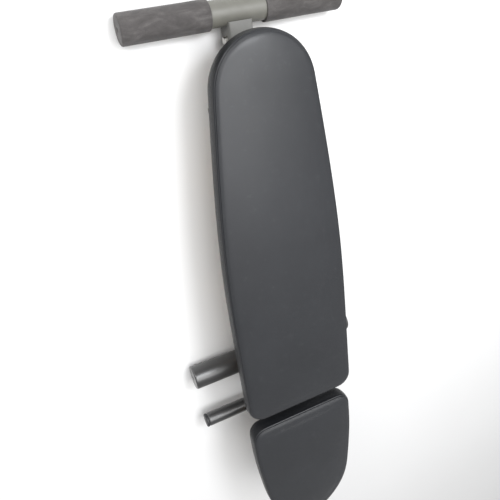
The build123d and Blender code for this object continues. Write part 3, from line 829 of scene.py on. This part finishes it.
def rounded(x, radius, curve, toward, inward=True, count=6):
    """Profile points of a rounded end at x, whose outer surface runs toward -1 or 1."""
    turn = np.radians(np.linspace(0, 90, count))
    points = [
        (x + toward * curve * (1 - math.cos(a)), radius - curve * (1 - math.sin(a))) for a in turn
    ]
    return points if inward else points[::-1]


def run(x0, x1, radius, step=6.0):
    """Profile points of a straight stretch."""
    count = max(2, int(abs(x1 - x0) / step))
    return [(float(x), radius) for x in np.linspace(x0, x1, count + 1)]


def make_sleeve(prefix, name, side, slot, body):
    """A thick foot sleeve, closed at its outer end by a rounded rim and a dimple."""
    node = f"{prefix}_sleeve_{name}"
    *ends, y, z, radius = round_bar(node)
    inner, outer = sorted(ends, key=abs)
    bottom = outer - side * SLEEVE_FLOOR
    profile = [(bottom, 0.0), (bottom, SLEEVE_BORE * 0.6)]
    profile += run(bottom, inner, SLEEVE_BORE, 30.0)
    profile += rounded(inner, radius, 1.6, side)
    profile += run(inner + side * 3, outer - side * 5.5, radius)
    profile += rounded(outer, radius, 4.2, -side, False, 8)
    profile += [(outer, radius * 0.72), (outer + side * 0.25, radius * 0.45), (outer, 5.6)]
    dimple = ((0.6, 4.3), (2.2, 3.6), (3.4, 2.4), (3.6, 0.0))
    profile += [(outer - side * depth, r) for depth, r in dimple]
    piece = turned(f"{node}_foam", profile, y, z, slot, body, False, 0.32, side * 3.7 + y * 0.01)
    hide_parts(node)


def make_roller(name, side):
    """An ankle grip: skinned foam with soft round ends, open right through for its bar."""
    node = f"ankle_roller_{name}"
    *ends, y, z, radius = round_bar(node)
    inner, outer = sorted(ends, key=abs)
    profile = run(outer, inner, ROLLER_BORE, 25.0)
    profile += rounded(inner, radius, 4.2, side)
    profile += run(inner + side * 5.5, outer - side * 5.5, radius)
    profile += rounded(outer, radius, 4.2, -side, False)
    piece = turned(f"{node}_foam", profile, y, z, "grip_rubber", node, True, 0.22, side * 8.3)
    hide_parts(node)


def make_knob(node, body):
    """A pull knob with grip flutes round it and a dished end."""
    x0, x1, y, z, radius = round_bar(node)

    def flutes(x, r, angle):
        """How deep the surface is cut, fading out towards both ends of the knob."""
        if r < radius - 1.6 or not x0 + 1.5 < x < x1 - 2.5:
            return 0.0
        fade = min(1.0, (x - x0 - 1.5) / 2.5, (x1 - 2.5 - x) / 2.5)
        return 1.1 * fade * (0.5 + 0.5 * math.cos(KNOB_FLUTES * angle)) ** 2

    profile = [(x0 + KNOB_BORE_DEPTH, 0.0), (x0 + KNOB_BORE_DEPTH, KNOB_BORE)]
    profile += run(x0 + KNOB_BORE_DEPTH - 0.1, x0, KNOB_BORE, 5.0)
    profile += [(x0, 8.0), (x0, radius - 4.0)]
    profile += [(x0 + 0.4, radius - 2.3), (x0 + 1.5, radius - 0.7)]
    profile += run(x0 + 2.6, x1 - 4.4, radius, 1.2)
    profile += [(x1 - 2.6, radius - 0.5), (x1 - 1.2, radius - 1.8), (x1 - 0.3, radius - 3.6)]
    profile += [(x1, radius - 5.2), (x1 - 0.5, radius - 6.6), (x1 - 1.0, 4.0), (x1 - 1.1, 0.0)]
    piece = turned(f"{node}_fluted", profile, y, z, "black_plastic", body, False, flutes=flutes)
    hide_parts(node)


for name, side in (("left", -1), ("right", 1)):
    make_sleeve("rear", name, side, "sleeve_rubber", "root")
    make_sleeve("front", name, side, "grip_rubber", "inner_leg")
    make_roller(name, side)
make_knob("fold_pin_knob", "fold_pin")
make_knob("height_pin_knob", "height_pin")


# ---- weld beads ----
BEAD_STEP = 0.9
RIPPLE_PITCH = 3.2
FRAME_BEAD = 1.9
PEG_BEAD = 1.8
BRACKET_BEAD = 1.6
BARREL_BEAD = 1.5
BARREL_RIM = 12.2
INNER_LEG_CORNER = 3.0


def bead(shape, line, radius, closed, seed):
    """A rippled weld bead along a line of bench points, half sunk in the joint."""
    line = np.asarray(line, float)
    if closed:
        line = np.vstack([line, line[:1]])
    count = max(8, int(travelled(line)[-1] / BEAD_STEP))
    points = even(line, count)
    if closed:
        points = points[:-1]
        ways = round_ways(points)
    else:
        ways = unit(np.gradient(points, axis=0))
    rings = []
    turn = np.radians(np.arange(0, 360, 36))[:, None]
    for k, (p, way) in enumerate(zip(points, ways)):
        a = unit(np.cross(way, (0.31, 0.22, 0.93) if abs(way[2]) < 0.8 else (0.9, 0.3, 0.1)))
        b = np.cross(way, a)
        wave = math.sin(k * BEAD_STEP * 2 * math.pi / RIPPLE_PITCH)
        ripple = 1 + 0.16 * wave + 0.12 * noise.noise(Vector((k * 0.21, seed, 0)))
        taper = 1.0 if closed else min(1.0, 0.45 + min(k, count - k) * 0.25)
        rings.append(shape.add(p + radius * ripple * taper * (np.cos(turn) * a + np.sin(turn) * b)))
    if closed:
        shape.skin(rings + rings[:1])
    else:
        shape.rod(rings)


def circle(x, y, z, radius):
    """Points of a circle square to X."""
    a = np.radians(np.arange(0, 360, 6))
    return np.column_stack([np.full(len(a), x), y + radius * np.cos(a), z + radius * np.sin(a)])


beam_half = node_span("main_beam")[1][0]
frame_welds = Shape()
for number, node in enumerate(
    (
        "back_cross_tube_head", "back_cross_tube_middle", "back_cross_tube_hip",
        "seat_cross_tube_rear", "seat_cross_tube_front",
    )
):
    low, high = node_span(node)
    for y in (low[1], high[1]):
        line = [(1.5 - beam_half, y, low[2]), (beam_half - 1.5, y, low[2])]
        bead(frame_welds, line, FRAME_BEAD, False, number)
for number, node in enumerate(("hinge_ear_left", "hinge_ear_right")):
    low, high = node_span(node)
    side = 1 if low[0] > 0 else -1
    line = [(side * beam_half, low[1] + 7, high[2]), (side * beam_half, high[1] - 7, high[2])]
    bead(frame_welds, line, FRAME_BEAD, False, 7 + number)
make_piece("frame_weld_beads", frame_welds.verts, frame_welds.faces, "frame_paint", "root")

leg_half = node_span("leg_outer")[1][0]
leg_welds = Shape()
for side in (-1, 1):
    *_, y, _, radius = round_bar(f"ankle_peg_{'left' if side < 0 else 'right'}")
    bead(leg_welds, circle(side * leg_half, y, LEG_Z, radius + 0.4), PEG_BEAD, True, side)
barrel_y = round_bar("height_pin_barrel")[2]
bead(leg_welds, circle(leg_half, barrel_y, LEG_Z, BARREL_RIM), BARREL_BEAD, True, 5)
low, high = node_span("fold_pin_bracket")
bracket_y = node_span("fold_pin_barrel")[1][1] + 20
for z in (low[2], high[2]):
    line = [(leg_half, bracket_y, z), (leg_half, high[1] - 2, z)]
    bead(leg_welds, line, BRACKET_BEAD, False, 11 + z)
make_piece("leg_weld_beads", leg_welds.verts, leg_welds.faces, "frame_paint", "leg")

*_, foot_y, _, foot_r = round_bar("front_foot_tube")
core = node_span("leg_inner")[1][0] - INNER_LEG_CORNER
rim = []
for k, (sx, sz) in enumerate(((1, 1), (1, -1), (-1, -1), (-1, 1))):
    for t in np.radians(np.linspace(90 - 90 * k, -90 * k, 5)):
        x, z = INNER_LEG_CORNER * math.cos(t), INNER_LEG_CORNER * math.sin(t)
        rim.append((sx * core + x, sz * core + z))
line = [(x, foot_y - math.sqrt(foot_r**2 - min(z * z, foot_r**2)) - 0.3, LEG_Z + z) for x, z in rim]
foot_welds = Shape()
bead(foot_welds, line, FRAME_BEAD, True, 21)
make_piece("front_foot_weld_bead", foot_welds.verts, foot_welds.faces, "foot_paint", "inner_leg")


# ---- floor and light ----
def make_floor():
    """A plain pale floor, wide enough for every view."""
    n = Nodes("floor_pale", Specular_IOR_Level=0.25)
    cloud = n.noise(1.2, 4.0, 0.5)
    n.colour(n.ramp(cloud, (0.3, (0.83, 0.83, 0.83)), (0.7, (0.86, 0.86, 0.86))))
    n.roughness(n.span(cloud, 0.3, 0.7, 0.75, 0.85))
    size = 5.0
    corners = [(-size, -size, 0), (size, -size, 0), (size, size, 0), (-size, size, 0)]
    mesh = bpy.data.meshes.new("floor")
    mesh.from_pydata(corners, [], [(0, 1, 2, 3)])
    mesh.materials.append(n.mat)
    floor = bpy.data.objects.new("floor", mesh)
    bpy.context.scene.collection.objects.link(floor)


def make_light(name, place, aim, size, power, tint):
    """A rectangular lamp that faces the point it aims at."""
    data = bpy.data.lights.new(name, "AREA")
    data.shape = "RECTANGLE"
    data.size, data.size_y = size
    data.energy = power
    data.color = tint
    light = bpy.data.objects.new(name, data)
    bpy.context.scene.collection.objects.link(light)
    light.location = place
    light.rotation_euler = (Vector(aim) - Vector(place)).to_track_quat("-Z", "Y").to_euler()


make_floor()
world = bpy.data.worlds.new("studio")
bpy.context.scene.world = world
world.use_nodes = True
world.node_tree.nodes["Background"].inputs["Color"].default_value = (1.0, 1.0, 1.0, 1)
world.node_tree.nodes["Background"].inputs["Strength"].default_value = 0.5
make_light("overhead", (0.15, 0.65, 2.5), (0, 0.1, 0.0), (2.0, 2.0), 52, (1.0, 1.0, 1.0))
make_light("key", (0.45, 1.3, 1.8), (0, -0.2, 0.1), (0.7, 0.5), 22, (0.95, 0.97, 1.0))
make_light("rim", (-1.1, 1.9, 1.15), (-0.05, 0.5, 0.1), (0.9, 0.7), 16, (1.0, 0.99, 0.97))
view = bpy.context.scene.view_settings
view.view_transform = "Standard"
view.look = "None"
